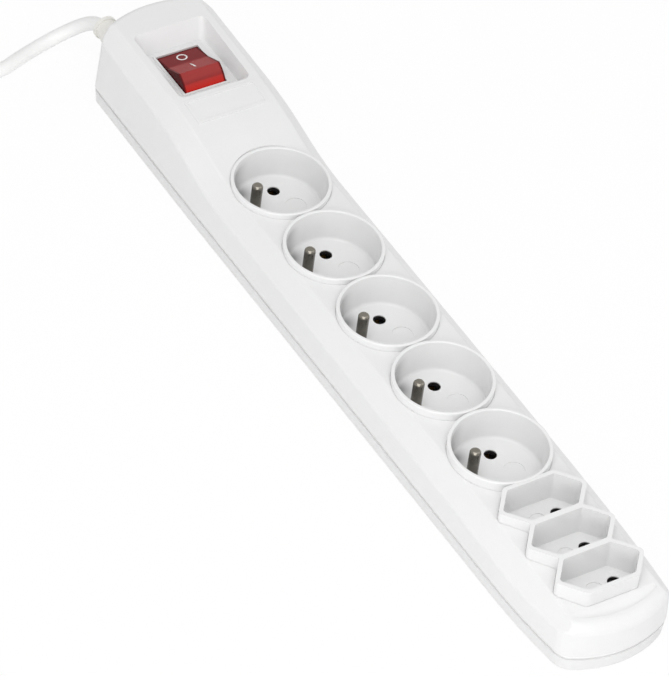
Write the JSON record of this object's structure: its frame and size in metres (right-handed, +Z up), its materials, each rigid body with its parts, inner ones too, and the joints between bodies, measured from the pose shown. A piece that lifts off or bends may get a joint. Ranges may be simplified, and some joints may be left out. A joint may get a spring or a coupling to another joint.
{
  "type": "power strip",
  "caption": "Power strip with a row of round recessed earthed sockets, flat two-pin sockets, a lit rocker switch and a mains lead with plug, in a white plastic case.",
  "frame": {"origin": "on the floor, under the middle of the body", "axes": "+X along the strip from the cord end to the flat sockets, +Y across it, +Z up"},
  "size_m": [0.5461, 0.1443, 0.0411],
  "materials": {
    "brass": "satin",
    "bush_cream": "matte",
    "clamp_white": "matte",
    "cover_white": "satin",
    "lamp_glass": "clear",
    "nickel": "polished",
    "plug_white": "satin",
    "plunger_grey": "matte",
    "rocker_red": "gloss",
    "sheath_white": "matte",
    "socket_white": "satin",
    "steel": "brushed",
    "switch_white": "satin",
    "tie_white": "matte",
    "tray_white": "satin",
    "wire_blue": "matte",
    "wire_brown": "matte",
    "wire_green_yellow": "matte"
  },
  "bodies": {
    "case": {"base_cover": "tray_white", "case_screws": "steel", "clamp_screws": "steel", "coil_tie": "tie_white", "cord": "sheath_white", "cord_bush": "bush_cream", "cord_clamp": "clamp_white", "cord_coil": "sheath_white", "cord_sheath_end": "sheath_white", "cord_tail": "sheath_white", "earth_bar": "brass", "earth_pin_1": "nickel", "earth_pin_2": "nickel", "earth_pin_3": "nickel", "earth_pin_4": "nickel", "earth_pin_5": "nickel", "earth_wire": "wire_green_yellow", "flat_socket_block": "socket_white", "live_bar": "brass", "live_clip_1": "brass", "live_clip_2": "brass", "live_clip_3": "brass", "live_clip_4": "brass", "live_clip_5": "brass", "live_clip_6": "brass", "live_clip_7": "brass", "live_clip_8": "brass", "live_feed_tab": "brass", "live_feed_wire": "wire_brown", "live_load_tab": "brass", "live_load_wire": "wire_brown", "neutral_bar": "brass", "neutral_clip_1": "brass", "neutral_clip_2": "brass", "neutral_clip_3": "brass", "neutral_clip_4": "brass", "neutral_clip_5": "brass", "neutral_clip_6": "brass", "neutral_clip_7": "brass", "neutral_clip_8": "brass", "neutral_feed_tab": "brass", "neutral_feed_wire": "wire_blue", "neutral_load_tab": "brass", "neutral_load_wire": "wire_blue", "plug_body": "plug_white", "plug_prongs": "nickel", "socket_cup_1": "socket_white", "socket_cup_2": "socket_white", "socket_cup_3": "socket_white", "socket_cup_4": "socket_white", "socket_cup_5": "socket_white", "switch_housing": "switch_white", "top_cover": "cover_white"},
    "rocker": {"rocker": "rocker_red", "switch_plungers": "plunger_grey", "plunger_springs": "steel", "neon_lamp": "lamp_glass"},
    "contact_arms": {"contact_arms": "brass"}
  },
  "joints": [
    {"name": "rocker_tilt", "type": "hinge", "parent": "case", "child": "rocker", "pos_m": [-0.154, 0, 0.0249], "axis": [0, 1, 0], "range_deg": [0, 36.4]},
    {"name": "contact_arm_tilt", "type": "hinge", "parent": "case", "child": "contact_arms", "pos_m": [-0.154, 0, 0.01535], "axis": [0, 1, 0], "range_deg": [-14.6, 0]}
  ],
  "couplings": [
    {"joint": "contact_arm_tilt", "follows": "rocker_tilt", "ratio": -0.4}
  ]
}
